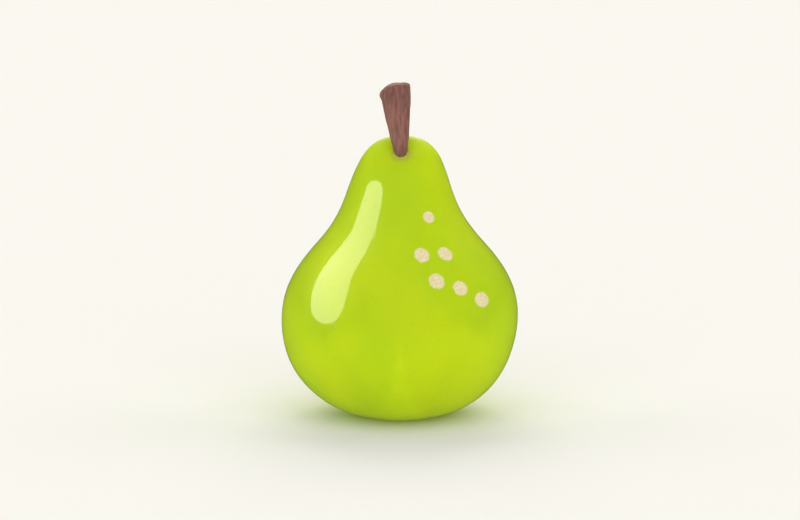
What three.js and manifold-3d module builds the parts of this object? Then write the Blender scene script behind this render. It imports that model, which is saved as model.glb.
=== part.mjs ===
// A whole green pear standing on its blossom end: the fruit, the woody stem set beside the fleshy lip of
// the neck, and the dried eye underneath, with its five sepals and its tuft of stamens.
//
// Millimetres, +Z up, front towards -Y. The origin is the centre of the resting ring, on the surface that
// the pear stands on. Angles round the fruit are measured from the front, turning towards +X.
import * as THREE from "three";
import { mergeVertices } from "three/addons/utils/BufferGeometryUtils.js";
import Module from "manifold-3d";

const wasm = await Module();
wasm.setup();

// --- Driving dimensions --------------------------------------------------------------------------------

const BELLY_RADIUS = 36;
const BELLY_HEIGHT = 30;
const FRUIT_HEIGHT = 85.5; // of the turned body, before the pit sinks in
const DEPTH_SHARE = 0.985; // the fruit is slightly flatter front to back than side to side
const REST_RING_INNER = 8.2; // flat annulus that the pear stands on
const REST_RING_OUTER = 10.5;
const BASIN_DEPTH = 6.3;
const EYE_RIM_RADIUS = 2.9;
const EYE_TUBE_RADIUS = 1.9;
const EYE_TUBE_DEPTH = 8.6; // height of the tube's bottom above the resting ring
const SEPAL_COUNT = 5; // one rib of the fruit's base per sepal
const BASE_RIB_SHARE = 0.022; // how far the five ribs stand out of the base, as a share of the radius there
const BELLY_RIB_SHARE = 0.004;
const RIB_FADE_HEIGHT = 26;
/** How far the fruit's centre strays as it grew, at even steps of height from the ring to the top: [X, Y]. */
const CENTRE_STRAY = [[0, 0], [-0.35, -0.25], [0, -0.3], [0.25, 0], [-0.05, 0.5], [0.55, 1]];

const PIT_X = 0.3; // the shallow hollow that the stem grows from, open towards the front
const PIT_Y = -6.5;
const PIT_RADIUS = 11.5;
const PIT_DEPTH = 4.7;

const STEM_BURIED = 6; // length below the skin
const STEM_VISIBLE = 21.7;
const STEM_FOOT_X = 0.3;
const STEM_FOOT_Y = -4;
const STEM_FOOT_HEIGHT = 80;
const STEM_ROOT_RADIUS = 1.4; // inside the flesh
const STEM_WAIST_RADIUS = 2.35; // just above the skin
const STEM_KNOB_RADIUS = 4.6; // the thick end, where it broke from the tree
const STEM_DEPTH_SHARE = 0.84; // the stem's section is an ellipse, widest across the front
const STEM_LEAN_X = -1.95;
const STEM_LEAN_Y = 2.6;
const STEM_END_DROP = 2.9; // how much lower the broken end is at its -X side
const STEM_DROP_POWER = 4; // how much of the drop is kept for that side
const STEM_DROP_START = 0.7; // share of the visible length below which the end's drop isn't felt

const GAP = 0.3; // kept between neighbouring solids
const FRUIT_SEGMENTS = 60;
const STEM_SEGMENTS = 24;
const MERGE_DISTANCE = 1e-4; // vertices closer than this are one

// --- Helpers -------------------------------------------------------------------------------------------

const TURN = 2 * Math.PI;
const smooth = (from, to, x) => THREE.MathUtils.smoothstep(x, from, to);

/** Joins knots into one outline. A knot's slope is its heading's angle from vertical, towards the axis. */
function outline(knots) {
  const points = [new THREE.Vector2(knots[0].r, knots[0].z)];
  for (let i = 1; i < knots.length; i++) {
    const [a, b] = [knots[i - 1], knots[i]];
    const from = new THREE.Vector2(a.r, a.z);
    const to = new THREE.Vector2(b.r, b.z);
    const leave = from.clone().addScaledVector(direction(a.slope), a.after);
    const arrive = to.clone().addScaledVector(direction(b.slope), -b.before);
    points.push(...new THREE.CubicBezierCurve(from, leave, arrive, to).getPoints(b.steps).slice(1));
  }
  return points;
}

function direction(slope) {
  const angle = THREE.MathUtils.degToRad(slope);
  return new THREE.Vector2(-Math.sin(angle), Math.cos(angle));
}

/** Turns an outline round the Z axis, starting at the front. */
function turned(points, segments) {
  return new THREE.LatheGeometry(points, segments).rotateX(Math.PI / 2);
}

/** Moves every vertex of a geometry with place(vector), which changes the vector it is given. */
function shaped(geometry, place) {
  const position = geometry.getAttribute("position");
  const vertex = new THREE.Vector3();
  for (let i = 0; i < position.count; i++) {
    place(vertex.fromBufferAttribute(position, i));
    position.setXYZ(i, vertex.x, vertex.y, vertex.z);
  }
  return geometry;
}

function solid(geometry) {
  const bare = new THREE.BufferGeometry().setIndex(geometry.index);
  bare.setAttribute("position", geometry.getAttribute("position"));
  const merged = mergeVertices(bare, MERGE_DISTANCE);
  return new wasm.Manifold(
    new wasm.Mesh({
      numProp: 3,
      vertProperties: merged.getAttribute("position").array,
      triVerts: new Uint32Array(merged.index.array),
    }),
  );
}

function geometryOf(manifold) {
  const mesh = manifold.getMesh();
  const geometry = new THREE.BufferGeometry();
  geometry.setAttribute("position", new THREE.BufferAttribute(mesh.vertProperties, 3));
  geometry.setIndex(new THREE.BufferAttribute(mesh.triVerts, 1));
  geometry.computeVertexNormals();
  return geometry;
}

function named(name, geometry, material) {
  const mesh = new THREE.Mesh(geometry, material);
  mesh.name = name;
  return mesh;
}

// --- Materials -----------------------------------------------------------------------------------------

const skin = new THREE.MeshStandardMaterial({ color: 0xb7d118, roughness: 0.35, metalness: 0 });
const bark = new THREE.MeshStandardMaterial({ color: 0x8a5c4f, roughness: 0.8, metalness: 0 });
const driedLeaf = new THREE.MeshStandardMaterial({ color: 0x5e4430, roughness: 0.9, metalness: 0 });

// --- Fruit ---------------------------------------------------------------------------------------------

/** The outline from the bottom of the eye, over the resting ring and the belly, to the top of the neck. */
const FRUIT_KNOTS = [
  { r: 0, z: EYE_TUBE_DEPTH, slope: -90, after: 1.1 },
  { r: EYE_TUBE_RADIUS, z: 7.5, slope: -180, before: 0.6, after: 0.6, steps: 3 },
  { r: EYE_RIM_RADIUS, z: BASIN_DEPTH, slope: -90, before: 0.5, after: 2.2, steps: 3 },
  { r: REST_RING_INNER, z: 0, slope: -90, before: 2.8, after: 0, steps: 9 },
  { r: REST_RING_OUTER, z: 0, slope: -90, before: 0, after: 8, steps: 1 },
  { r: BELLY_RADIUS, z: BELLY_HEIGHT, slope: 0, before: 20.4, after: 9.8, steps: 13 },
  { r: 25.2, z: 53.2, slope: 42, before: 9.4, after: 13.8, steps: 9 },
  { r: 12.35, z: 78, slope: 26, before: 10, after: 7, steps: 10 },
  { r: 0, z: FRUIT_HEIGHT, slope: 90, before: 4.3, steps: 9 },
];

const CENTRE_LINE = new THREE.SplineCurve(CENTRE_STRAY.map(([x, y]) => new THREE.Vector2(x, y)));

/** Ribs, flattening and a stray centre make the turned body a grown one. The pit sinks in beside the lip. */
function growFruit(vertex) {
  const inEye = Math.hypot(vertex.x, vertex.y) < REST_RING_OUTER - MERGE_DISTANCE && vertex.z < BELLY_HEIGHT;
  if (inEye) return;
  const angle = Math.atan2(vertex.x, -vertex.y);
  const fade = smooth(0, RIB_FADE_HEIGHT, vertex.z);
  const share = THREE.MathUtils.lerp(BASE_RIB_SHARE, BELLY_RIB_SHARE, fade);
  const rib = 1 + share * Math.cos(SEPAL_COUNT * angle);
  const centre = CENTRE_LINE.getPoint(THREE.MathUtils.clamp(vertex.z / FRUIT_HEIGHT, 0, 1));
  vertex.x = vertex.x * rib + centre.x;
  vertex.y = vertex.y * rib * DEPTH_SHARE + centre.y;
  if (vertex.z > BELLY_HEIGHT) {
    const away = Math.hypot(vertex.x - PIT_X, vertex.y - PIT_Y);
    vertex.z -= PIT_DEPTH * (1 - smooth(0, PIT_RADIUS, away));
  }
}

function makeFruit() {
  const body = solid(shaped(turned(outline(FRUIT_KNOTS), FRUIT_SEGMENTS), growFruit));
  return named("fruit", geometryOf(body.subtract(solid(stemGeometry(GAP)))), skin);
}

// --- Stem ----------------------------------------------------------------------------------------------

/** The stem's outline before it leans, from its buried tip to its broken end, thicker by extra all round. */
function stemOutline(extra) {
  const foot = STEM_BURIED;
  const top = STEM_BURIED + STEM_VISIBLE;
  const rimRadius = STEM_KNOB_RADIUS - 0.35;
  return outline([
    { r: 0, z: -extra, slope: -90, after: 0.9 },
    { r: STEM_ROOT_RADIUS + extra, z: 1.8, slope: 0, before: 1, after: 1.5, steps: 4 },
    { r: STEM_ROOT_RADIUS + 0.15 + extra, z: foot, slope: -12, before: 1.2, after: 0.9, steps: 3 },
    { r: STEM_WAIST_RADIUS + extra, z: foot + 2.4, slope: -6, before: 1, after: 5, steps: 4 },
    { r: STEM_KNOB_RADIUS + extra, z: top - 1.5, slope: -3, before: 6, after: 0.7, steps: 12 },
    { r: rimRadius + extra, z: top - 0.25 + extra, slope: 60, before: 0.45, after: 0.45, steps: 4 },
    { r: 0, z: top + extra, slope: 90, before: 1.8, steps: 4 },
  ]);
}

/** Sets the upright stem in the pit: an oval section, a lean, and a broken end that drops at its -X side. */
function growStem(vertex) {
  const along = (vertex.z - STEM_BURIED) / STEM_VISIBLE;
  const up = Math.max(along, 0);
  const across = THREE.MathUtils.clamp(0.5 - vertex.x / (2 * STEM_KNOB_RADIUS), 0, 1);
  const drop = STEM_END_DROP * across ** STEM_DROP_POWER * smooth(STEM_DROP_START, 1, along);
  vertex.z += STEM_FOOT_HEIGHT - STEM_BURIED - drop;
  vertex.x += STEM_FOOT_X + STEM_LEAN_X * along;
  vertex.y = vertex.y * STEM_DEPTH_SHARE + STEM_FOOT_Y + STEM_LEAN_Y * up * up;
}

function stemGeometry(extra) {
  return shaped(turned(stemOutline(extra), STEM_SEGMENTS), growStem);
}

// --- Eye -----------------------------------------------------------------------------------------------

const SEPAL_HALF_WIDTH = 1.8; // before the blade tapers
const SEPAL_HALF_THICKNESS = 0.28;
const SEPAL_CUP = 0.16; // how much the blade curls in at its edges, per millimetre from its midrib
const SEPAL_TAPER = 0.8; // how much narrower the blade is towards its tip, as a share of its width
const SEPAL_BLUNTNESS = 0.4; // below 1, so that the blade is wide where it leaves the rim
const SEPAL_SEGMENTS = 12;
/** The midrib, as (distance from the axis, height): it leaves the rim, hangs down and curls outwards. */
const SEPAL_MIDRIB = new THREE.QuadraticBezierCurve(
  new THREE.Vector2(EYE_RIM_RADIUS - 0.3, BASIN_DEPTH - 0.65),
  new THREE.Vector2(3.1, 2.2),
  new THREE.Vector2(5.1, 1.9),
);

/** One pointed blade: a ball drawn out along the midrib, with its poles at the base and the tip. */
function makeSepal(index) {
  const turn = (index * TURN) / SEPAL_COUNT;
  const blade = shaped(new THREE.SphereGeometry(1, SEPAL_SEGMENTS, SEPAL_SEGMENTS), (vertex) => {
    const along = (vertex.y + 1) / 2;
    const round = Math.sqrt(Math.max(1 - vertex.y * vertex.y, Number.EPSILON));
    const taper = round ** SEPAL_BLUNTNESS * (1 - SEPAL_TAPER * along);
    const across = (vertex.x / round) * SEPAL_HALF_WIDTH * taper;
    const thick = (vertex.z / round) * SEPAL_HALF_THICKNESS * taper ** 0.5;
    const middle = SEPAL_MIDRIB.getPoint(along);
    const heading = SEPAL_MIDRIB.getTangent(along);
    const inward = thick + SEPAL_CUP * across * across;
    const radius = middle.x + heading.y * inward;
    vertex.set(across, -radius, middle.y - heading.x * inward);
    vertex.applyAxisAngle(new THREE.Vector3(0, 0, 1), turn);
  });
  return named(`sepal_${index + 1}`, geometryOf(solid(blade)), driedLeaf);
}

const STAMEN_COUNT = 11;
const STAMEN_RADIUS = 0.16;
const STAMEN_TIP_SHARE = 0.7; // radius of a filament's tip, as a share of STAMEN_RADIUS
const STAMEN_LENGTH = 3;
const STAMEN_LENGTH_SPREAD = 0.5;
const TUFT_SPREAD = 1.7; // how much wider the tuft is at its tips than where it leaves the pad
const PAD_RADIUS = 1.35;
const PAD_THICKNESS = 0.7;
const PAD_CLEARANCE = 0.75; // between the pad and the tube's bottom
const GOLDEN_ANGLE = 0.382 * TURN;

/** A straight filament from one point to another, thinner at its far end. */
function filament(from, to) {
  const along = new THREE.Vector3().subVectors(to, from);
  const tipRadius = STAMEN_TIP_SHARE * STAMEN_RADIUS;
  const rod = new THREE.CylinderGeometry(tipRadius, STAMEN_RADIUS, along.length(), 6);
  const upright = new THREE.Vector3(0, 1, 0);
  rod.applyQuaternion(new THREE.Quaternion().setFromUnitVectors(upright, along.clone().normalize()));
  rod.translate(...from.clone().add(to).multiplyScalar(0.5));
  return solid(rod);
}

/** The dried stamens: filaments that spread out of a small pad in the eye's tube. */
function makeStamens() {
  const padTop = EYE_TUBE_DEPTH - PAD_CLEARANCE;
  const padMiddle = padTop - PAD_THICKNESS / 2;
  const pad = new THREE.CylinderGeometry(0.75 * PAD_RADIUS, PAD_RADIUS, PAD_THICKNESS, 18)
    .rotateX(Math.PI / 2)
    .translate(0, 0, padMiddle);
  let tuft = solid(pad);
  for (let i = 0; i < STAMEN_COUNT; i++) {
    const angle = i * GOLDEN_ANGLE;
    const start = 0.7 * PAD_RADIUS * Math.sqrt((i + 0.5) / STAMEN_COUNT);
    const end = start * TUFT_SPREAD;
    const length = STAMEN_LENGTH + STAMEN_LENGTH_SPREAD * Math.cos(3 * i);
    const from = new THREE.Vector3(start * Math.cos(angle), start * Math.sin(angle), padMiddle);
    const to = new THREE.Vector3(end * Math.cos(angle), end * Math.sin(angle), padTop - length);
    tuft = tuft.add(filament(from, to));
  }
  return named("dried_stamens", geometryOf(tuft), driedLeaf);
}

// --- The pear ------------------------------------------------------------------------------------------

const pear = new THREE.Group();
pear.add(makeFruit(), named("stem", geometryOf(solid(stemGeometry(0))), bark), makeStamens());
for (let i = 0; i < SEPAL_COUNT; i++) pear.add(makeSepal(i));

export default pear;
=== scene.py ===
"""The looks of a whole green pear: waxy skin with pale corky spots, a woody stem set in the hollow at
the top of the neck, and the dried eye in the hollow underneath.

The scene is in metres, +Z up, with the front towards -Y. The origin is under the pear's middle, on the
surface that it stands on.
"""

import math
from collections import namedtuple

import bpy
import numpy as np
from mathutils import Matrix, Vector, noise


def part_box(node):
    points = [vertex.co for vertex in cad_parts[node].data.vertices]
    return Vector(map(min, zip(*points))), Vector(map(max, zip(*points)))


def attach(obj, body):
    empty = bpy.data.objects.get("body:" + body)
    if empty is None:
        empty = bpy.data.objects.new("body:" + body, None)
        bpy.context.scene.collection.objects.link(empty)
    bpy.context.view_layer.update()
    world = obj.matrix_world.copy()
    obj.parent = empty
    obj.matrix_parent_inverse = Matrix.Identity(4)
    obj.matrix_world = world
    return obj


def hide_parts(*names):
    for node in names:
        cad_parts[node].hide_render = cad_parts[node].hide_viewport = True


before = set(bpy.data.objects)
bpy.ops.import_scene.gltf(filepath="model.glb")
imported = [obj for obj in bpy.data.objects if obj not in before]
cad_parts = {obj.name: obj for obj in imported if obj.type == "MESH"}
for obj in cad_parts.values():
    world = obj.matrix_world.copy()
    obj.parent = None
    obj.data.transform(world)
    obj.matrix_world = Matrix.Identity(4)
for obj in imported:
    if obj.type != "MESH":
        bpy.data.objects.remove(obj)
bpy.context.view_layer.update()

# --- Driving dimensions --------------------------------------------------------------------------------
# Lengths are in millimetres of a pear that is FRUIT_WIDTH wide, and angles in degrees from the front
# towards +X.

FRUIT_WIDTH = 72
FRUIT_HEIGHT = 85.5  # of the turned body, before the pit sinks in
DEPTH_SHARE = 0.985  # the fruit is slightly flatter front to back than side to side
BELLY_HEIGHT = 30
RING_OUTER = 10.5  # outer radius of the flat ring that the pear stands on
RING_INNER = 8.2  # and its inner radius
EYE_CALM = 3  # from the middle of the base; ribs and stray centre fade in from here to RING_OUTER
RIB_COUNT = 5  # one rib of the fruit's base per sepal
BASE_RIB_SHARE = 0.022  # how far the ribs stand out of the base, as a share of the radius there
BELLY_RIB_SHARE = 0.004
RIB_FADE_HEIGHT = 26
PIT = np.array([0.3, -6.5])  # middle of the shallow hollow that the stem grows from
PIT_RADIUS = 11.5
PIT_DEPTH = 4.7

MM = (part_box("fruit")[1].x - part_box("fruit")[0].x) / FRUIT_WIDTH  # one of these millimetres, in metres

# how far the fruit's centre strays towards +X and +Y, at even steps of height from the ring to the top
CENTRE_STRAY = np.array([[0, 0], [-0.35, -0.25], [0, -0.3], [0.25, 0], [-0.05, 0.5], [0.55, 1]])

# a knot's slope is its heading's angle from straight up, towards the axis; before and after are the
# lengths of its two handles
Knot = namedtuple("Knot", "radius height slope before after")
EYE_OUTLINE = [  # from the bottom of the eye's tube to the ring
    Knot(0, 8.6, -90, 0, 1.1),
    Knot(1.9, 7.5, -180, 0.6, 0.6),
    Knot(2.9, 6.3, -90, 0.5, 2.2),
    Knot(RING_INNER, 0, -90, 2.8, 0),
]
SIDE_OUTLINE = [  # from the ring, over the belly, to the top of the neck
    Knot(RING_OUTER, 0, -90, 0, 8),
    Knot(FRUIT_WIDTH / 2, BELLY_HEIGHT, 0, 20.4, 9.8),
    Knot(25.2, 53.2, 42, 9.4, 13.8),
    Knot(12.35, 78, 26, 10, 7),
    Knot(0, FRUIT_HEIGHT, 90, 4.3, 0),
]
CURVE_STEPS = 120  # points on the curve from one knot to the next, before they are spaced evenly
SKIN_COLUMNS = 340
SKIN_ROWS = 270
LOOKUP_ROWS = 400  # of the side outline, for finding the radius at a height

Spot = namedtuple("Spot", "angle height across along")  # the middle, and the radii on the skin
PALE_SPOTS = [
    Spot(28, 62.9, 1.85, 1.85),
    Spot(14, 52.8, 2.3, 2.5),
    Spot(31, 52.7, 2.35, 2.4),
    Spot(20, 45.7, 2.4, 2.5),
    Spot(33, 43.3, 2.45, 2.3),
    Spot(45, 39.4, 2.8, 2.3),
]
SPOT_LIFT = 0.13  # how far the corky spots stand out of the skin
SPOT_SHOULDER = (0.6, 1.1)  # over which part of their radius they fall back to it

Relief = namedtuple("Relief", "height size seed")  # one layer of unevenness, with features of that size
SKIN_SWELLS = [Relief(0.12, 17, 1), Relief(0.012, 4.5, 2)]
EVEN_HEIGHT = 3  # the skin has no swells below this height
UNEVEN_HEIGHT = 15  # and all of them above this one


# --- Small tools ---------------------------------------------------------------------------------------

def smooth(low, high, value):
    """0 below low, 1 above high, and an even S between them."""
    share = np.clip((value - low) / (high - low), 0, 1)
    return share * share * (3 - 2 * share)


def heading(slope):
    """The direction slope degrees from straight up, towards the axis, as (radius, height)."""
    return np.array([-math.sin(math.radians(slope)), math.cos(math.radians(slope))])


def bezier(start, leave, arrive, end, count):
    """Points along a cubic curve, both ends included."""
    t = np.linspace(0, 1, count)[:, None]
    s = 1 - t
    return s ** 3 * start + 3 * s ** 2 * t * leave + 3 * s * t * t * arrive + t ** 3 * end


def outline_points(knots, rows):
    """The outline through the knots as rows evenly spaced points of (radius, height)."""
    stretches = []
    for a, b in zip(knots[:-1], knots[1:]):
        start = np.array([a.radius, a.height])
        end = np.array([b.radius, b.height])
        leave = start + heading(a.slope) * a.after
        arrive = end - heading(b.slope) * b.before
        stretches.append(bezier(start, leave, arrive, end, CURVE_STEPS)[:-1])
    points = np.concatenate([*stretches, [[knots[-1].radius, knots[-1].height]]])
    length = np.concatenate([[0], np.cumsum(np.hypot(*np.diff(points, axis=0).T))])
    even = np.linspace(0, length[-1], rows)
    return np.stack([np.interp(even, length, column) for column in points.T], axis=1)


def turned_grid(outline, columns):
    """The angle, radius and height of an outline's points, turned round Z, without its two ends."""
    angle = np.linspace(0, 2 * math.pi, columns, endpoint=False)
    radius = outline[1:-1, :1] + 0 * angle
    height = outline[1:-1, 1:] + 0 * angle
    return angle + 0 * radius, radius, height


def spline(points, share):
    """A Catmull-Rom curve through evenly spaced points, at a share of its length from 0 to 1."""
    place = np.clip(share, 0, 1) * (len(points) - 1)
    index = np.minimum(place.astype(int), len(points) - 2)
    t = (place - index)[..., None]
    before, start = points[np.maximum(index - 1, 0)], points[index]
    end, after = points[index + 1], points[np.minimum(index + 2, len(points) - 1)]
    return 0.5 * (
        2 * start
        + (end - before) * t
        + (2 * before - 5 * start + 4 * end - after) * t * t
        + (3 * start - before - 3 * end + after) * t ** 3
    )


SEED_STEP = (17.3, 5.1, 9.7)  # how far apart in the noise two seeds are


def noise_at(points, size, seed):
    """Smooth noise from -1 to 1 at each point, with features about size millimetres across."""
    offset = Vector([seed * step for step in SEED_STEP])
    flat = points.reshape(-1, 3) / size
    return np.array([noise.noise(Vector(p) + offset) for p in flat]).reshape(points.shape[:-1])


def relief(points, layers):
    """How far each point is lifted by all the layers together."""
    return sum(layer.height * noise_at(points, layer.size, layer.seed) for layer in layers)


def turned(points, angle):
    """Turns points by an angle in radians round the Z axis."""
    cosine, sine = math.cos(angle), math.sin(angle)
    x, y, z = np.moveaxis(points, -1, 0)
    return np.stack([cosine * x - sine * y, sine * x + cosine * y, z], axis=-1)


def normals_of(rings):
    """The outward direction at each point of a grid of rings."""
    around = np.roll(rings, -1, axis=1) - np.roll(rings, 1, axis=1)
    along = np.gradient(rings, axis=0)
    normal = np.cross(around, along)
    return normal / np.maximum(np.linalg.norm(normal, axis=-1, keepdims=True), 1e-9)


def ring_faces(count, around, first):
    """The faces of a stack of rings with a fan at each end. Its vertices are numbered from first."""
    faces = []
    for i in range(count - 1):
        low, high = first + i * around, first + (i + 1) * around
        for j in range(around):
            k = (j + 1) % around
            faces.append((low + j, low + k, high + k, high + j))
    bottom, top = first + count * around, first + count * around + 1
    last = first + (count - 1) * around
    for j in range(around):
        k = (j + 1) % around
        faces.append((bottom, first + k, first + j))
        faces.append((top, last + j, last + k))
    return faces


def make_piece(name, bodies, material, replaced):
    """One smooth mesh from closed bodies, each a grid of rings and its two ends, in millimetres."""
    vertices, faces = [], []
    for rings, bottom, top in bodies:
        faces += ring_faces(rings.shape[0], rings.shape[1], sum(len(v) for v in vertices))
        vertices.append(np.concatenate([rings.reshape(-1, 3), [bottom, top]]))
    mesh = bpy.data.meshes.new(name)
    mesh.from_pydata((np.concatenate(vertices) * MM).tolist(), [], faces)
    mesh.shade_smooth()
    mesh.materials.append(material)
    piece = bpy.data.objects.new(name, mesh)
    bpy.context.scene.collection.objects.link(piece)
    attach(piece, "root")
    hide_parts(*replaced)
    return piece


# --- Skin ----------------------------------------------------------------------------------------------

def grown(angle, radius, height):
    """Where a point of the turned outline lies on the fruit as it grew.

    Ribs, a flattening and a stray centre change the turned shape, and the pit sinks into its top.
    """
    clear = smooth(EYE_CALM, RING_OUTER, np.maximum(radius, height))
    fade = smooth(0, RIB_FADE_HEIGHT, height)
    share = BASE_RIB_SHARE + (BELLY_RIB_SHARE - BASE_RIB_SHARE) * fade
    rib = 1 + share * np.cos(RIB_COUNT * angle) * clear
    centre = spline(CENTRE_STRAY, height / FRUIT_HEIGHT) * clear[..., None]
    x = radius * np.sin(angle) * rib + centre[..., 0]
    y = -radius * np.cos(angle) * rib * DEPTH_SHARE + centre[..., 1]
    away = np.hypot(x - PIT[0], y - PIT[1])
    sink = PIT_DEPTH * (1 - smooth(0, PIT_RADIUS, away)) * (height > BELLY_HEIGHT)
    return np.stack([x, y, height - sink], axis=-1)


def skin_point(angle, height):
    """The point of the outer skin at an angle in degrees and a height."""
    side = outline_points(SIDE_OUTLINE, LOOKUP_ROWS)
    radius = np.interp(height, side[:, 1], side[:, 0])
    return grown(np.array(math.radians(angle)), np.array(radius), np.array(float(height)))


def spot_cover(points):
    """1 on a pale spot and 0 away from all of them, with a soft shoulder at each spot's edge."""
    cover = np.zeros(points.shape[:-1])
    for spot in PALE_SPOTS:
        offset = turned(points - skin_point(spot.angle, spot.height), -math.radians(spot.angle))
        away = np.linalg.norm(offset / (spot.across, spot.along, spot.along), axis=-1)
        cover = np.maximum(cover, 1 - smooth(*SPOT_SHOULDER, away))
    return cover


def make_skin():
    """The whole skin as one closed mesh, from the bottom of the eye's tube to the top of the neck."""
    outline = outline_points(EYE_OUTLINE + SIDE_OUTLINE, SKIN_ROWS)
    rings = grown(*turned_grid(outline, SKIN_COLUMNS))
    swells = relief(rings, SKIN_SWELLS) * smooth(EVEN_HEIGHT, UNEVEN_HEIGHT, rings[..., 2])
    lift = swells + SPOT_LIFT * spot_cover(rings)
    rings = rings + normals_of(rings) * lift[..., None]
    top = grown(np.array(0.0), np.array(0.0), np.array(FRUIT_HEIGHT))
    bottom = np.array([0, 0, EYE_OUTLINE[0].height])
    return make_piece("pear_skin", [(rings, bottom, top)], skin_material(), ["fruit"])


# --- Stem ----------------------------------------------------------------------------------------------

STEM_BURIED = 5  # length below the skin
STEM_VISIBLE = 21.7
STEM_FOOT = np.array([0.3, -4, 80])
STEM_KNOB_RADIUS = 4.6  # the thick end, where it broke from the tree
STEM_DEPTH_SHARE = 0.84  # the stem's section is an ellipse, widest across the front
STEM_LEAN = np.array([-1.95, 2.6])  # how far the end leans towards +X and +Y
STEM_END_DROP = 2.9  # how much lower the broken end is at its -X side
STEM_DROP_POWER = 4  # the higher, the more of that drop is close to that side
STEM_DROP_START = 0.7  # share of the visible length below which the end's drop isn't felt
STEM_COLUMNS = 120
STEM_ROWS = 170
STEM_OUTLINE = [
    Knot(0, -STEM_BURIED, -90, 0, 0.9),
    Knot(1.4, 1.8 - STEM_BURIED, 0, 1, 1.2),
    Knot(1.55, 0, -12, 1, 0.9),
    Knot(2.35, 2.4, -6, 1, 5),
    Knot(STEM_KNOB_RADIUS, STEM_VISIBLE - 1.5, -3, 6, 0.7),
    Knot(STEM_KNOB_RADIUS - 0.35, STEM_VISIBLE - 0.25, 60, 0.45, 0.45),
    Knot(0, STEM_VISIBLE, 90, 1.8, 0),
]
GRAIN_SQUEEZE = np.array([1, 1, 0.16])  # draws the grain out along the stem
BARK_GRAIN = [Relief(0.2, 1.1, 3), Relief(0.1, 0.5, 4)]
BARK_LUMPS = [Relief(0.12, 3, 5)]


def stem_place(points):
    """Leans the upright stem out of its pit, flattens it and lowers its broken end at its -X side."""
    x, y, z = np.moveaxis(points, -1, 0)
    along = z / STEM_VISIBLE
    up = np.maximum(along, 0)
    across = np.clip(0.5 - x / (2 * STEM_KNOB_RADIUS), 0, 1)
    drop = STEM_END_DROP * across ** STEM_DROP_POWER * smooth(STEM_DROP_START, 1, along)
    grown_x = x + STEM_LEAN[0] * along
    grown_y = y * STEM_DEPTH_SHARE + STEM_LEAN[1] * up * up
    return np.stack([grown_x, grown_y, z - drop], axis=-1) + STEM_FOOT


def make_stem():
    """The woody stalk, with grain along it, from inside the flesh to its broken end."""
    angle, radius, height = turned_grid(outline_points(STEM_OUTLINE, STEM_ROWS), STEM_COLUMNS)
    rings = np.stack([radius * np.sin(angle), -radius * np.cos(angle), height], axis=-1)
    lift = relief(rings * GRAIN_SQUEEZE, BARK_GRAIN) + relief(rings, BARK_LUMPS)
    rings = rings + normals_of(rings) * lift[..., None]
    ends = [stem_place(np.array([0, 0, z])) for z in (-STEM_BURIED, STEM_VISIBLE)]
    return make_piece("pear_stem", [(stem_place(rings), *ends)], bark_material(), ["stem"])


# --- Eye -----------------------------------------------------------------------------------------------

SEPAL_NAMES = [f"sepal_{i}" for i in range(1, RIB_COUNT + 1)]
# the blade's midrib as (distance from the axis, height), from inside the flesh to the tip
SEPAL_MIDRIB = np.array([[2.45, 6.7], [2.9, 3.8], [3.6, 2.2], [5.2, 1.75]])
SEPAL_HALF_WIDTH = 1.6
SEPAL_HALF_THICKNESS = 0.2
SEPAL_POINT = 1.7  # the higher, the blunter the blade's tip
SEPAL_CUP = 0.2  # the blade curls in by this times the square of the distance from its midrib
SEPAL_CREASE_DEPTH = 0.12  # of the lengthwise creases, which fade towards the base
SEPAL_CREASE_TURN = 5  # radians of crease per millimetre across the blade
SEPAL_CRUMPLE = 0.08  # height of the crumples
SEPAL_CRUMPLE_SIZE = 0.9
SEPAL_ROWS = 34
SEPAL_COLUMNS = 28


def angle_of(node):
    """The direction of a CAD node's middle, in radians from the front."""
    low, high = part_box(node)
    middle = (low + high) / 2
    return math.atan2(middle.x, -middle.y)


def make_sepal(node, seed):
    """One dry pointed blade, widest where it grows out of the flesh, cupped and crumpled."""
    share = np.linspace(0, 1, SEPAL_ROWS)[1:-1, None]
    turn = np.linspace(0, 2 * math.pi, SEPAL_COLUMNS, endpoint=False)[None, :]
    line = spline(SEPAL_MIDRIB, share[:, 0])
    slope = np.gradient(line, axis=0)
    slope /= np.linalg.norm(slope, axis=1, keepdims=True)
    taper = np.sqrt(smooth(-0.1, 0.15, share)) * (1 - share ** SEPAL_POINT)
    across = SEPAL_HALF_WIDTH * taper * np.cos(turn)
    thick = SEPAL_HALF_THICKNESS * np.sqrt(taper) * np.sin(turn) + SEPAL_CUP * across ** 2
    thick = thick + SEPAL_CREASE_DEPTH * np.sin(SEPAL_CREASE_TURN * across + seed) * share
    out = line[:, :1] + slope[:, 1:] * thick
    height = line[:, 1:] - slope[:, :1] * thick
    rings = np.stack([-across, -out, height], axis=-1)
    rings = rings + SEPAL_CRUMPLE * noise_at(rings, SEPAL_CRUMPLE_SIZE, seed)[..., None]
    place = angle_of(node)
    base, tip = (turned(np.array([0, -r, z]), place) for r, z in (SEPAL_MIDRIB[0], SEPAL_MIDRIB[-1]))
    bodies = [(turned(rings, place), base, tip)]
    return make_piece(f"{node}_blade", bodies, calyx_material(), [node])


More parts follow.
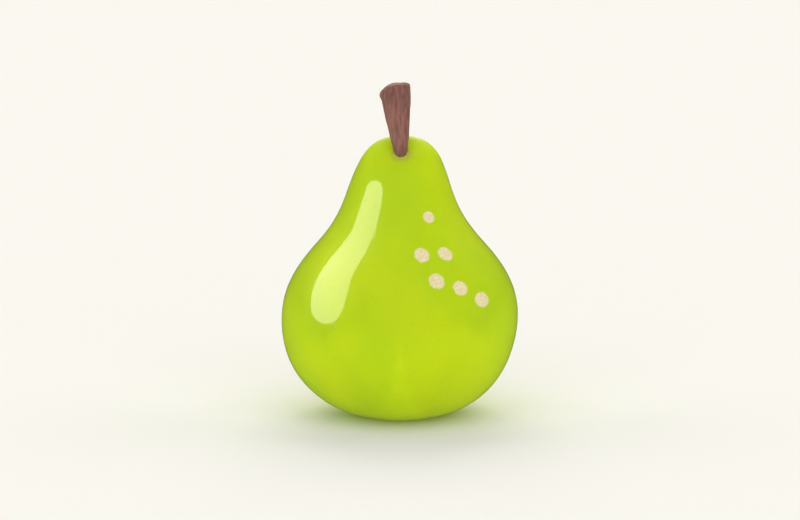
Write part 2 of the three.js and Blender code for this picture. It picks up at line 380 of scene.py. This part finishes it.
# the pad that the stamens grow from: each ring's share of its radius, and how far it is below its top
PAD_RINGS = np.array([[0.5, 0.05], [0.9, 0.15], [1, 0.4], [0.8, 0.7], [0.35, 0.85]])
PAD_SHARE = 0.85  # radius of the pad, as a share of the whole tuft's in the CAD model
PAD_THICKNESS = 0.9
PAD_COLUMNS = 24
HAIR_COUNT = 16
HAIR_TURN = 2.4  # radians from one hair to the next, the golden angle
HAIR_START = 0.6  # how far below the pad's top the hairs start
HAIR_START_SHARE = 0.7  # how far from the axis they start, as a share of their place on the pad
HAIR_END_SHARE = 1.15  # and how far from it they end
HAIR_UNEVENNESS = 0.6  # how much the hairs' lower ends differ in height
HAIR_BOW = 0.35  # how much the hairs differ in how far they bow sideways
HAIR_RADIUS = 0.12
HAIR_THINNING = 0.4  # share of the radius that is gone at the tip
ANTHER_SWELL = 1.6  # how much wider the anther is, as a share of the hair's radius
HAIR_ROWS = 14
HAIR_COLUMNS = 8
HAIR_SEED = 7


def filament(start, end, bow):
    """A thin hair from start to end, bowed sideways, with a small dry anther at its tip."""
    share = np.linspace(0, 1, HAIR_ROWS)[1:-1]
    turn = np.linspace(0, 2 * math.pi, HAIR_COLUMNS, endpoint=False)
    line = start + (end - start) * share[:, None] + bow * np.sin(math.pi * share)[:, None]
    anther = smooth(0.8, 0.92, share) * (1 - smooth(0.96, 1, share))
    size = HAIR_RADIUS * (1 - HAIR_THINNING * share + ANTHER_SWELL * anther)
    circle = np.stack([np.cos(turn), -np.sin(turn), 0 * turn], axis=-1)
    return line[:, None, :] + size[:, None, None] * circle, start, end


def stamen_pad(radius, top):
    """The small flat pad that the hairs grow from, round the axis."""
    turn = np.linspace(0, 2 * math.pi, PAD_COLUMNS, endpoint=False)
    share, below = PAD_RINGS[:, :1], PAD_RINGS[:, 1:]
    x = share * radius * np.cos(turn)
    y = -share * radius * np.sin(turn)
    rings = np.stack([x, y, top - below + 0 * turn], axis=-1)
    return rings, np.array([0, 0, top]), np.array([0, 0, top - PAD_THICKNESS])


def make_tuft():
    """The dried stamens: a small pad and a spread of bowed hairs below it."""
    low, high = (np.array(corner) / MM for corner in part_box("dried_stamens"))
    lowest, top = low[2], high[2]
    radius = (high[0] - low[0]) / 2 * PAD_SHARE
    chance = np.random.default_rng(HAIR_SEED)
    bodies = [stamen_pad(radius, top)]
    for i in range(HAIR_COUNT):
        spread = radius * math.sqrt((i + 0.5) / HAIR_COUNT)
        out = np.array([math.cos(i * HAIR_TURN), math.sin(i * HAIR_TURN), 0]) * spread
        start = out * HAIR_START_SHARE + np.array([0, 0, top - HAIR_START])
        end = out * HAIR_END_SHARE + np.array([0, 0, lowest + HAIR_UNEVENNESS * chance.random()])
        bow = HAIR_BOW * (chance.random(3) - 0.5) * np.array([1, 1, 0])
        bodies.append(filament(start, end, bow))
    return make_piece("stamen_tuft", bodies, calyx_material(), ["dried_stamens"])


# --- Materials -----------------------------------------------------------------------------------------

def linear(red, green, blue):
    """A display colour out of 255, on the sRGB curve, as the linear colour that a shader takes."""
    shares = (red / 255, green / 255, blue / 255)
    return tuple(s / 12.92 if s <= 0.04045 else ((s + 0.055) / 1.055) ** 2.4 for s in shares) + (1,)


LEAF_GREEN = linear(176, 206, 18)
RIPE_GREEN = linear(188, 211, 16)
STREAK_GREEN = linear(150, 186, 20)
GRAIN_GREEN = linear(158, 190, 40)
DOT_GREEN = linear(140, 170, 30)
LENTICEL_TAN = linear(196, 192, 96)
STEM_RUSSET = linear(168, 150, 78)
EYE_RUSSET = linear(126, 100, 50)
CORK = linear(220, 204, 148)
PALE_CORK = linear(234, 222, 172)
DARK_BARK = linear(108, 69, 58)
PALE_BARK = linear(151, 102, 90)
BARK_PATCH = linear(120, 92, 70)
CUT_WOOD = linear(164, 124, 96)
PITH = linear(92, 62, 46)
DARK_CALYX = linear(88, 58, 26)
PALE_CALYX = linear(166, 122, 62)
CALYX_TIP = linear(64, 45, 26)
FLOOR_GREY = linear(227, 225, 217)
PALE = linear(250, 248, 239)  # the floor as it shows in the light, and so the background above it

WAX_FULL_HEIGHT = 77  # the skin's shiny wax thins out from here
WAX_END_HEIGHT = 82  # to nothing here, near the stem
EYE_MIDDLE = (0, 0, 7)  # of the russet ring round the eye


class Shader:
    """A material's node tree with one Principled BSDF, and short ways to add what feeds it."""

    def __init__(self, name, **settings):
        self.material = bpy.data.materials.new(name)
        self.material.use_nodes = True
        self.tree = self.material.node_tree
        self.surface = self.tree.nodes["Principled BSDF"]
        for socket, value in settings.items():
            self.surface.inputs[socket.replace("_", " ")].default_value = value
        place = self.add("ShaderNodeTexCoord").outputs["Object"]
        scaled = self.add("ShaderNodeVectorMath", {0: place, "Scale": 1 / MM}, operation="SCALE")
        self.position = scaled.outputs[0]  # where the surface is, in millimetres
        self.height = self.add("ShaderNodeSeparateXYZ", {0: self.position}).outputs["Z"]

    def add(self, kind, inputs=(), **settings):
        """A node with its settings. inputs maps a socket to a value or to another node's output."""
        made = self.tree.nodes.new(kind)
        for key, value in settings.items():
            setattr(made, key, value)
        for key, value in dict(inputs).items():
            if isinstance(value, bpy.types.NodeSocket):
                self.tree.links.new(value, made.inputs[key])
            else:
                made.inputs[key].default_value = value
        return made

    def feed(self, socket, output):
        self.tree.links.new(output, self.surface.inputs[socket])

    def math(self, operation, a, b):
        return self.add("ShaderNodeMath", {0: a, 1: b}, operation=operation).outputs[0]

    def ramp(self, value, low, high, to_low=0.0, to_high=1.0):
        """Turns value from low to high into an even S from to_low to to_high."""
        inputs = {"Value": value, "From Min": low, "From Max": high, "To Min": to_low, "To Max": to_high}
        return self.add("ShaderNodeMapRange", inputs, interpolation_type="SMOOTHSTEP").outputs["Result"]

    def noise(self, size, detail, place=None, roughness=0.5):
        """Noise from 0 to 1 with features about size millimetres across."""
        inputs = {
            "Vector": place or self.position,
            "Scale": 1 / size,
            "Detail": detail,
            "Roughness": roughness,
        }
        return self.add("ShaderNodeTexNoise", inputs).outputs["Fac"]

    def drawn_out(self, share):
        """The position to draw noise on, so that its features are longer up and down, by 1 / share."""
        inputs = {0: self.position, 1: (1, 1, share)}
        return self.add("ShaderNodeVectorMath", inputs, operation="MULTIPLY").outputs[0]

    def mix(self, share, a, b):
        """Colour a turning into colour b."""
        inputs = {0: share, 6: a, 7: b}  # the numbers of the sockets that a mix of colours takes
        return self.add("ShaderNodeMix", inputs, data_type="RGBA", clamp_result=True).outputs[2]

    def away_from(self, point):
        """The distance from a point, in millimetres."""
        inputs = {0: self.position, 1: tuple(point)}
        return self.add("ShaderNodeVectorMath", inputs, operation="DISTANCE").outputs["Value"]

    def frayed(self, distance, size, depth):
        """A distance that varies by up to depth either way, so that its edge is uneven."""
        return self.math("ADD", distance, self.ramp(self.noise(size, 3), 0.2, 0.8, -depth, depth))

    def bump(self, *layers):
        """Adds layers of relief, each a height from 0 to 1 and how many millimetres it stands for."""
        normal = None
        for height, depth in layers:
            inputs = {"Height": height, "Distance": depth * MM, "Strength": 1.0}
            made = self.add("ShaderNodeBump", inputs)
            if normal:
                self.tree.links.new(normal, made.inputs["Normal"])
            normal = made.outputs["Normal"]
        self.feed("Normal", normal)


def speckle(shader, spacing, size):
    """Small round dots scattered over the surface: 1 on a dot, 0 between them."""
    inputs = {"Vector": shader.position, "Scale": 1 / spacing, "Randomness": 1.0}
    cells = shader.add("ShaderNodeTexVoronoi", inputs, feature="F1")
    return shader.ramp(cells.outputs["Distance"], size, 0.55 * size)


def spot_mask(shader):
    """1 on a pale spot and 0 away from all of them, with a slightly uneven edge."""
    wobble = shader.ramp(shader.noise(1.1, 2), 0.3, 0.7, -0.05, 0.05)
    mask = 0.0
    for spot in PALE_SPOTS:
        inputs = {
            "Vector": shader.position,
            "Location": tuple(skin_point(spot.angle, spot.height)),
            "Rotation": (0, 0, math.radians(spot.angle)),
            "Scale": (spot.across, spot.along, spot.along),
        }
        offset = shader.add("ShaderNodeMapping", inputs, vector_type="TEXTURE").outputs[0]
        away = shader.add("ShaderNodeVectorMath", {0: offset}, operation="LENGTH").outputs["Value"]
        mask = shader.math("MAXIMUM", shader.ramp(shader.math("ADD", away, wobble), 1.1, 0.9), mask)
    return mask


def skin_colour(shader, dots, lenticels, spots):
    """Patchy, streaked and freckled green, with russet round the stem and the eye, and cork spots."""
    patches = shader.ramp(shader.noise(26, 2), 0.35, 0.65)
    colour = shader.mix(patches, LEAF_GREEN, RIPE_GREEN)
    streaks = shader.noise(5, 3, shader.drawn_out(0.22))
    colour = shader.mix(shader.ramp(streaks, 0.5, 0.8, 0, 0.12), colour, STREAK_GREEN)
    grain = shader.noise(0.5, 3, roughness=0.6)
    colour = shader.mix(shader.ramp(grain, 0.45, 0.75, 0, 0.16), colour, GRAIN_GREEN)
    colour = shader.mix(shader.math("MULTIPLY", dots, 0.3), colour, DOT_GREEN)
    colour = shader.mix(shader.math("MULTIPLY", lenticels, 0.65), colour, LENTICEL_TAN)
    by_stem = shader.frayed(shader.away_from(STEM_FOOT), 0.9, 1.2)
    colour = shader.mix(shader.ramp(by_stem, 4.4, 2.2, 0, 0.45), colour, STEM_RUSSET)
    by_eye = shader.frayed(shader.away_from(EYE_MIDDLE), 0.8, 0.7)
    colour = shader.mix(shader.ramp(by_eye, 5.4, 3.2, 0, 0.8), colour, EYE_RUSSET)
    cork = shader.mix(shader.ramp(shader.noise(0.6, 3), 0.3, 0.7), CORK, PALE_CORK)
    return shader.mix(spots, colour, cork)


def skin_material():
    shader = Shader("pear_skin", Specular_IOR_Level=0.06, Coat_Roughness=0.06)
    dots = speckle(shader, 1.7, 0.15)
    lenticels = speckle(shader, 5.3, 0.075)
    spots = spot_mask(shader)
    shader.feed("Base Color", skin_colour(shader, dots, lenticels, spots))
    rough = shader.ramp(shader.noise(3, 3), 0.3, 0.7, 0.36, 0.46)
    shader.feed("Roughness", shader.math("ADD", rough, shader.math("MULTIPLY", spots, 0.4)))
    wax = shader.ramp(shader.height, WAX_END_HEIGHT, WAX_FULL_HEIGHT, 0, 0.8)
    shader.feed("Coat Weight", wax)
    dimples = shader.noise(2.4, 3)
    pores = shader.noise(0.45, 2)
    shader.bump((dimples, 0.02), (pores, 0.01), (dots, 0.015), (lenticels, 0.03))
    return shader.material


def bark_material():
    shader = Shader("bark", Roughness=0.75, Specular_IOR_Level=0.3)
    grain = shader.noise(0.8, 5, shader.drawn_out(0.15), 0.65)
    colour = shader.mix(shader.ramp(grain, 0.3, 0.7), DARK_BARK, PALE_BARK)
    patches = shader.ramp(shader.noise(3.2, 3), 0.45, 0.75, 0, 0.5)
    colour = shader.mix(patches, colour, BARK_PATCH)
    from_end = shader.away_from(stem_place(np.array([0, 0, STEM_VISIBLE])))
    colour = shader.mix(shader.ramp(from_end, 3.8, 2.4, 0, 0.5), colour, CUT_WOOD)
    colour = shader.mix(shader.ramp(from_end, 0.9, 0.4, 0, 0.7), colour, PITH)
    shader.feed("Base Color", colour)
    shader.feed("Roughness", shader.ramp(grain, 0.2, 0.8, 0.62, 0.88))
    shader.bump((grain, 0.18), (shader.noise(0.3, 3), 0.05))
    return shader.material


def calyx_material():
    """The dry leafy stuff of the sepals and stamens, made once and shared."""
    found = bpy.data.materials.get("dry_leaf")
    if found:
        return found
    shader = Shader("dry_leaf", Roughness=0.85, Specular_IOR_Level=0.15)
    grain = shader.noise(0.5, 4, roughness=0.6)
    colour = shader.mix(shader.ramp(grain, 0.35, 0.65), DARK_CALYX, PALE_CALYX)
    colour = shader.mix(shader.ramp(shader.height, 3.4, 1.8, 0, 0.6), colour, CALYX_TIP)
    shader.feed("Base Color", colour)
    shader.bump((grain, 0.12), (shader.noise(1.4, 3), 0.2))
    return shader.material


# --- Studio --------------------------------------------------------------------------------------------

VIEW_ELEVATION = 9
VIEW_DISTANCE = 914
VIEW_HEIGHT = 47.45  # what the camera looks at, on the axis
LENS = 135
SENSOR_WIDTH = 36
CLIP_END = 100  # metres
FLOOR_REACH = 20  # metres from the middle to each side

SURROUND = (1, 0.985, 0.95, 1)
SURROUND_STRENGTH = 0.16
WARM_SURROUND = (1, 0.97, 0.7, 1)  # what glossy skin mirrors
MIRRORED_STRENGTH = 0.08


def make_camera():
    camera = bpy.data.objects.new("camera", bpy.data.cameras.new("camera"))
    camera.data.lens = LENS
    camera.data.sensor_width = SENSOR_WIDTH
    camera.data.clip_end = CLIP_END
    tilt = math.radians(VIEW_ELEVATION)
    away = Vector((0, -math.cos(tilt), math.sin(tilt)))
    camera.location = (away * VIEW_DISTANCE + Vector((0, 0, VIEW_HEIGHT))) * MM
    camera.rotation_euler = (math.pi / 2 - tilt, 0, 0)
    bpy.context.scene.collection.objects.link(camera)
    bpy.context.scene.camera = camera


def make_floor():
    mesh = bpy.data.meshes.new("floor")
    reach = FLOOR_REACH
    corners = [(-reach, -reach, 0), (reach, -reach, 0), (reach, reach, 0), (-reach, reach, 0)]
    mesh.from_pydata(corners, [], [(0, 1, 2, 3)])
    floor = bpy.data.objects.new("floor", mesh)
    bpy.context.scene.collection.objects.link(floor)
    shader = Shader("pale_floor", Base_Color=FLOOR_GREY, Roughness=0.9, Specular_IOR_Level=0.0)
    mesh.materials.append(shader.material)
    floor.visible_glossy = False
    floor.visible_shadow = False


def make_world():
    """An even pale surround. Glossy skin mirrors WARM_SURROUND instead, and the camera sees PALE."""
    world = bpy.data.worlds.new("surround")
    bpy.context.scene.world = world
    world.use_nodes = True
    tree = world.node_tree
    path = tree.nodes.new("ShaderNodeLightPath")
    output = tree.nodes["Background"].outputs[0]
    tree.nodes["Background"].inputs["Color"].default_value = SURROUND
    tree.nodes["Background"].inputs["Strength"].default_value = SURROUND_STRENGTH
    rays = (("Is Glossy Ray", WARM_SURROUND, MIRRORED_STRENGTH), ("Is Camera Ray", PALE, 1))
    for ray, colour, strength in rays:
        seen = tree.nodes.new("ShaderNodeBackground")
        seen.inputs["Color"].default_value = colour
        seen.inputs["Strength"].default_value = strength
        mix = tree.nodes.new("ShaderNodeMixShader")
        tree.links.new(path.outputs[ray], mix.inputs[0])
        tree.links.new(output, mix.inputs[1])
        tree.links.new(seen.outputs[0], mix.inputs[2])
        output = mix.outputs[0]
    tree.links.new(output, tree.nodes["World Output"].inputs["Surface"])


WARM = (1, 1, 0.9)  # from behind, against the green that the fruit throws into its own shadow
COOL = (0.85, 0.85, 1)
PLAIN = (1, 1, 1)

# azimuth is in degrees from the front towards +X; the suns below the horizon shine through the floor
Sun = namedtuple("Sun", "name azimuth elevation spread strength colour")
SUNS = [
    Sun("behind", 180, 38, 45, 1.1, WARM),
    Sun("behind_left", -138, 44, 60, 0.85, WARM),
    Sun("behind_right", 138, 44, 60, 0.8, WARM),
    Sun("side_left", -100, 30, 40, 0.25, PLAIN),
    Sun("side_right", 100, 30, 40, 0.3, PLAIN),
    Sun("front", 0, 25, 100, 1, COOL),
    Sun("front_high", 0, 45, 80, 1.45, COOL),
    Sun("low_front", 0, -35, 80, 0.8, PLAIN),
    Sun("low_left", -85, -25, 80, 1.4, PLAIN),
    Sun("low_right", 85, -25, 80, 1.4, PLAIN),
]


def make_sun(sun):
    """Soft light from one direction, which glossy skin doesn't mirror."""
    light = bpy.data.lights.new(sun.name, "SUN")
    light.angle = math.radians(sun.spread)
    light.energy = sun.strength
    light.color = sun.colour
    lamp = bpy.data.objects.new(sun.name, light)
    a, e = math.radians(sun.azimuth), math.radians(sun.elevation)
    source = Vector((math.sin(a) * math.cos(e), -math.cos(a) * math.cos(e), math.sin(e)))
    lamp.rotation_mode = "QUATERNION"
    lamp.rotation_quaternion = source.to_track_quat("Z", "Y")
    lamp.visible_glossy = False
    bpy.context.scene.collection.objects.link(lamp)


# A softbox stands round the Z axis at distance, less lean for each millimetre of height. Each bar gives
# the azimuth and height of its two sides, from its top down. round_ends are the shares of its length
# over which its top and its bottom round off. light is its colour times its strength, and it dims
# downwards from full at its top to the share dimmest at the height dim_below.
Softbox = namedtuple("Softbox", "name bars round_ends distance lean light dimmest dim_below")
SOFTBOXES = [
    Softbox(
        "side_strip",
        [
            [-64, 82, -35, 87],
            [-67, 75, -30, 79],
            [-70, 71, -34, 74.5],
            [-76, 66, -41, 72],
            [-71, 55, -40, 60],
            [-64, 44, -36, 47],
            [-58, 32, -38, 33],
        ],
        round_ends=(0.09, 0.115),
        distance=60,
        lean=0.4,
        light=(7.2, 6.6, 5.4),
        dimmest=0.78,
        dim_below=69,
    ),
    Softbox(
        "rear_softbox",
        [[170, 520, 190, 520], [170, 335, 190, 335], [170, 150, 190, 150]],
        round_ends=(0.15, 0.15),
        distance=400,
        lean=0,
        light=(5, 4.9, 4.4),
        dimmest=1,
        dim_below=0,
    ),
]
SOFTBOX_ROWS = 90
SOFTBOX_COLUMNS = 12


def softbox_surface(box):
    """The box's points in rows from its top down, in millimetres."""
    share = np.linspace(0, 1, SOFTBOX_ROWS + 1)
    bars = spline(np.array(box.bars, dtype=float), share)
    left, right = bars[:, :2], bars[:, 2:]
    near_end = np.minimum(np.minimum(share / box.round_ends[0], (1 - share) / box.round_ends[1]), 1)
    reach = np.sqrt(1 - (1 - near_end) ** 2)[:, None] * np.linspace(-1, 1, SOFTBOX_COLUMNS + 1)
    middle, half = (left + right) / 2, (right - left) / 2
    angle = np.radians(middle[:, :1] + half[:, :1] * reach)
    height = middle[:, 1:] + half[:, 1:] * reach
    radius = box.distance - box.lean * height
    return np.stack([radius * np.sin(angle), -radius * np.cos(angle), height], axis=-1)


def glow_material(box, top):
    """Light that dims downwards from the height top, as the box says."""
    material = bpy.data.materials.new(box.name)
    material.use_nodes = True
    tree = material.node_tree
    place = tree.nodes.new("ShaderNodeTexCoord")
    parts = tree.nodes.new("ShaderNodeSeparateXYZ")
    share = tree.nodes.new("ShaderNodeMapRange")
    glow = tree.nodes.new("ShaderNodeEmission")
    glow.inputs["Color"].default_value = (*box.light, 1)
    share.inputs["From Min"].default_value = box.dim_below * MM
    share.inputs["From Max"].default_value = top * MM
    share.inputs["To Min"].default_value = box.dimmest
    share.inputs["To Max"].default_value = 1
    tree.links.new(place.outputs["Object"], parts.inputs[0])
    tree.links.new(parts.outputs["Z"], share.inputs["Value"])
    tree.links.new(share.outputs["Result"], glow.inputs["Strength"])
    tree.links.new(glow.outputs[0], tree.nodes["Material Output"].inputs["Surface"])
    return material


def make_softbox(box):
    """A curved light with round ends that only shows as a gleam on glossy skin."""
    points = softbox_surface(box)
    along = SOFTBOX_COLUMNS + 1  # points in a row
    faces = []
    for i in range(SOFTBOX_ROWS):
        for j in range(SOFTBOX_COLUMNS):
            a = i * along + j
            faces.append((a, a + 1, a + along + 1, a + along))
    mesh = bpy.data.meshes.new(box.name)
    mesh.from_pydata((points * MM).reshape(-1, 3).tolist(), [], faces)
    mesh.materials.append(glow_material(box, points[..., 2].max()))
    lamp = bpy.data.objects.new(box.name, mesh)
    bpy.context.scene.collection.objects.link(lamp)
    lamp.visible_camera = False
    lamp.visible_diffuse = False
    lamp.visible_shadow = False
    lamp.visible_transmission = False


def make_studio():
    make_camera()
    make_floor()
    make_world()
    for sun in SUNS:
        make_sun(sun)
    for box in SOFTBOXES:
        make_softbox(box)
    bpy.context.scene.view_settings.view_transform = "Standard"


# --- The pear ------------------------------------------------------------------------------------------

make_studio()
make_skin()
make_stem()
make_tuft()
for number, sepal in enumerate(SEPAL_NAMES):
    make_sepal(sepal, number)
